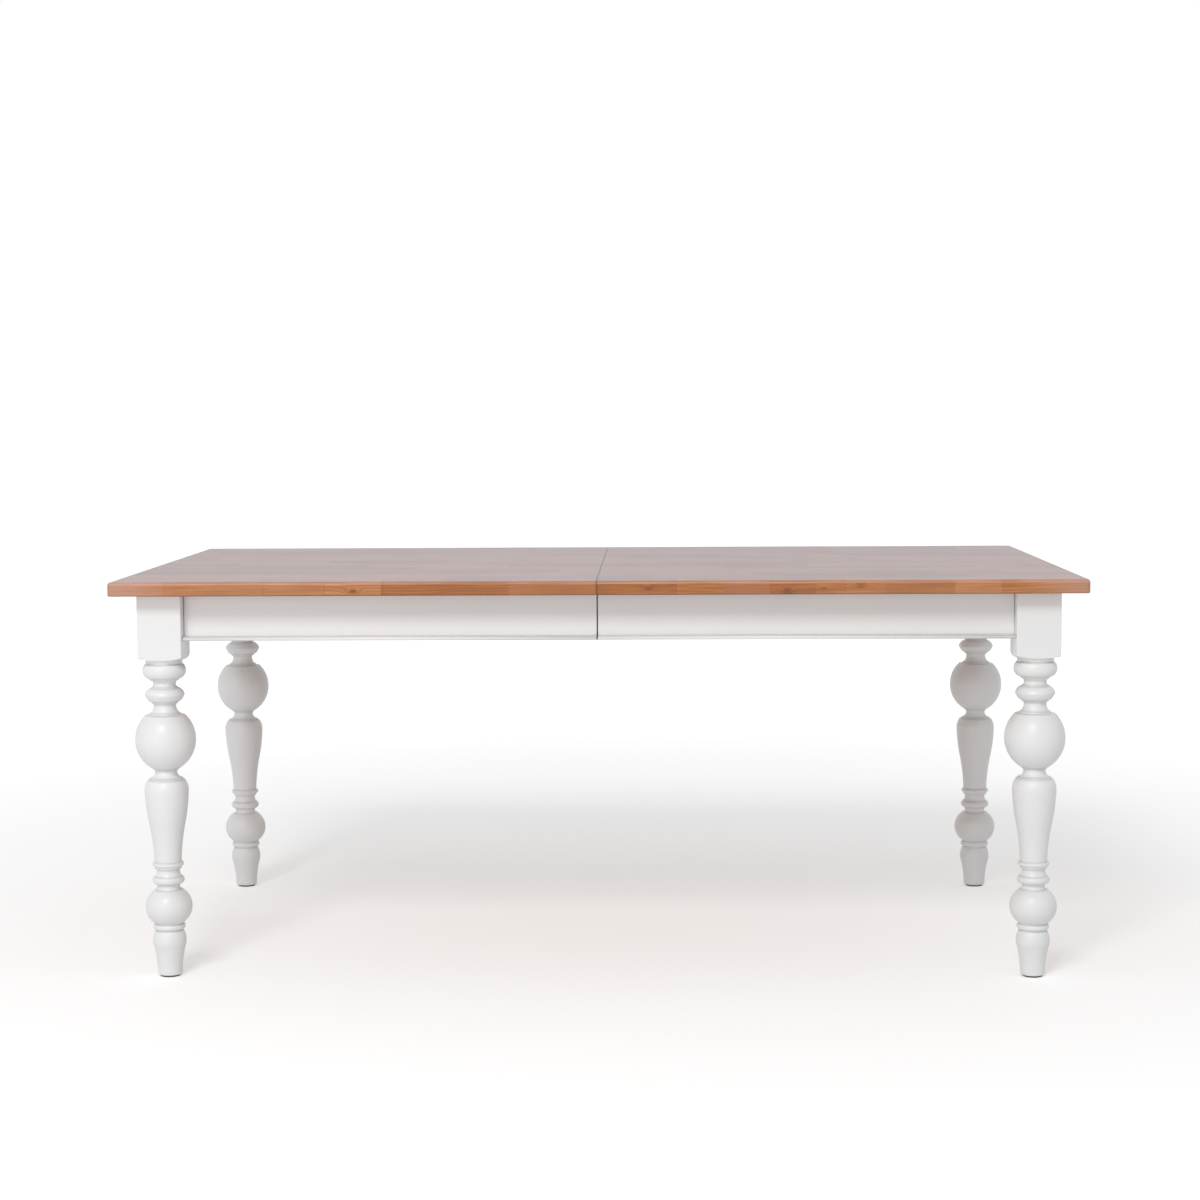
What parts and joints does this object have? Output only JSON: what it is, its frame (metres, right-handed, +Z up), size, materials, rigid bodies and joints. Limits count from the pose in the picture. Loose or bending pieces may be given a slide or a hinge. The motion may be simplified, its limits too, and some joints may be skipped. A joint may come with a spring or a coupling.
{
  "type": "extending dining table",
  "caption": "Rectangular dining table, turned white legs under a solid wood top, split in two half frames that pull apart on geared slides to take a leaf stored underneath.",
  "frame": {"origin": "on the floor under the middle of the closed table", "axes": "+X along the length of the table, from the left half to the right half; +Y from the front edge to the rear edge; +Z up"},
  "size_m": [1.8, 1, 0.752],
  "materials": {
    "oiled_top_wood": "warm brown hardwood staves, satin lacquer",
    "white_paint": "hardwood painted satin white",
    "plain_beech": "planed beech, waxed",
    "zinc_steel": "zinc plated",
    "grey_nylon": "moulded nylon",
    "dark_glide": "dark moulded plastic"
  },
  "bodies": {
    "left_half": {"front_left_leg": "white_paint", "front_left_apron": "white_paint", "front_left_bead": "white_paint", "rear_left_leg": "white_paint", "rear_left_apron": "white_paint", "rear_left_bead": "white_paint", "left_end_apron": "white_paint", "left_end_bead": "white_paint", "left_cross_rail": "plain_beech", "left_foot_glides": "dark_glide", "left_corner_blocks": "plain_beech", "left_corner_bolts": "zinc_steel", "left_corner_nuts": "zinc_steel", "left_top": "oiled_top_wood", "left_top_brackets": "zinc_steel", "left_small_screws": "zinc_steel", "left_racks": "grey_nylon", "left_slide_screws": "zinc_steel", "front_left_slide": "plain_beech", "rear_left_slide": "plain_beech", "lock_bases": "zinc_steel", "extension_leaf": "oiled_top_wood", "leaf_pins": "plain_beech", "front_leaf_bearer": "plain_beech", "rear_leaf_bearer": "plain_beech", "rear_leaf_ledge": "plain_beech", "leaf_button_screws": "zinc_steel"},
    "right_half": {"front_right_leg": "white_paint", "front_right_apron": "white_paint", "front_right_bead": "white_paint", "rear_right_leg": "white_paint", "rear_right_apron": "white_paint", "rear_right_bead": "white_paint", "right_end_apron": "white_paint", "right_end_bead": "white_paint", "right_cross_rail": "plain_beech", "right_foot_glides": "dark_glide", "right_corner_blocks": "plain_beech", "right_corner_bolts": "zinc_steel", "right_corner_nuts": "zinc_steel", "right_top": "oiled_top_wood", "right_top_brackets": "zinc_steel", "right_small_screws": "zinc_steel", "right_racks": "grey_nylon", "right_slide_screws": "zinc_steel", "front_right_slide": "plain_beech", "rear_right_slide": "plain_beech", "lock_keepers": "zinc_steel", "seam_pins": "plain_beech"},
    "front_middle_slide": {"front_middle_slide": "plain_beech", "front_slide_pins": "zinc_steel"},
    "rear_middle_slide": {"rear_middle_slide": "plain_beech", "rear_slide_pins": "zinc_steel"},
    "front_pinion": {"front_pinion": "grey_nylon"},
    "rear_pinion": {"rear_pinion": "grey_nylon"},
    "front_lock_lever": {"front_lock_lever": "zinc_steel"},
    "rear_lock_lever": {"rear_lock_lever": "zinc_steel"},
    "end_leaf_button": {"end_leaf_button": "plain_beech"},
    "seam_leaf_button": {"seam_leaf_button": "plain_beech"}
  },
  "joints": [
    {"name": "right_half_pull", "type": "slide", "parent": "left_half", "child": "right_half", "axis": [1, 0, 0], "range_m": [0, 0.52]},
    {"name": "front_middle_travel", "type": "slide", "parent": "left_half", "child": "front_middle_slide", "axis": [1, 0, 0], "range_m": [0, 0.26]},
    {"name": "rear_middle_travel", "type": "slide", "parent": "left_half", "child": "rear_middle_slide", "axis": [1, 0, 0], "range_m": [0, 0.26]},
    {"name": "front_pinion_spin", "type": "hinge", "parent": "front_middle_slide", "child": "front_pinion", "pos_m": [0, -0.3205, 0.689], "axis": [0, 0, 1], "range_deg": [-828, 0]},
    {"name": "rear_pinion_spin", "type": "hinge", "parent": "rear_middle_slide", "child": "rear_pinion", "pos_m": [0, 0.3205, 0.689], "axis": [0, 0, 1], "range_deg": [0, 828]},
    {"name": "front_lock_swing", "type": "hinge", "parent": "left_half", "child": "front_lock_lever", "pos_m": [-0.045, -0.15, 0.7142], "axis": [0, 0, -1], "range_deg": [0, 75]},
    {"name": "rear_lock_swing", "type": "hinge", "parent": "left_half", "child": "rear_lock_lever", "pos_m": [-0.045, 0.15, 0.7142], "axis": [0, 0, 1], "range_deg": [0, 75]},
    {"name": "end_button_turn", "type": "hinge", "parent": "left_half", "child": "end_leaf_button", "pos_m": [-0.66, -0.274, 0.6307], "axis": [0, 0, 1], "range_deg": [-90, 90]},
    {"name": "seam_button_turn", "type": "hinge", "parent": "left_half", "child": "seam_leaf_button", "pos_m": [-0.257, -0.274, 0.6307], "axis": [0, 0, 1], "range_deg": [-90, 90]}
  ],
  "couplings": [
    {"joint": "front_middle_travel", "follows": "right_half_pull", "ratio": 0.5},
    {"joint": "rear_middle_travel", "follows": "right_half_pull", "ratio": 0.5},
    {"joint": "front_pinion_spin", "follows": "right_half_pull", "rad_per_m": -27.778},
    {"joint": "rear_pinion_spin", "follows": "right_half_pull", "rad_per_m": 27.778}
  ]
}
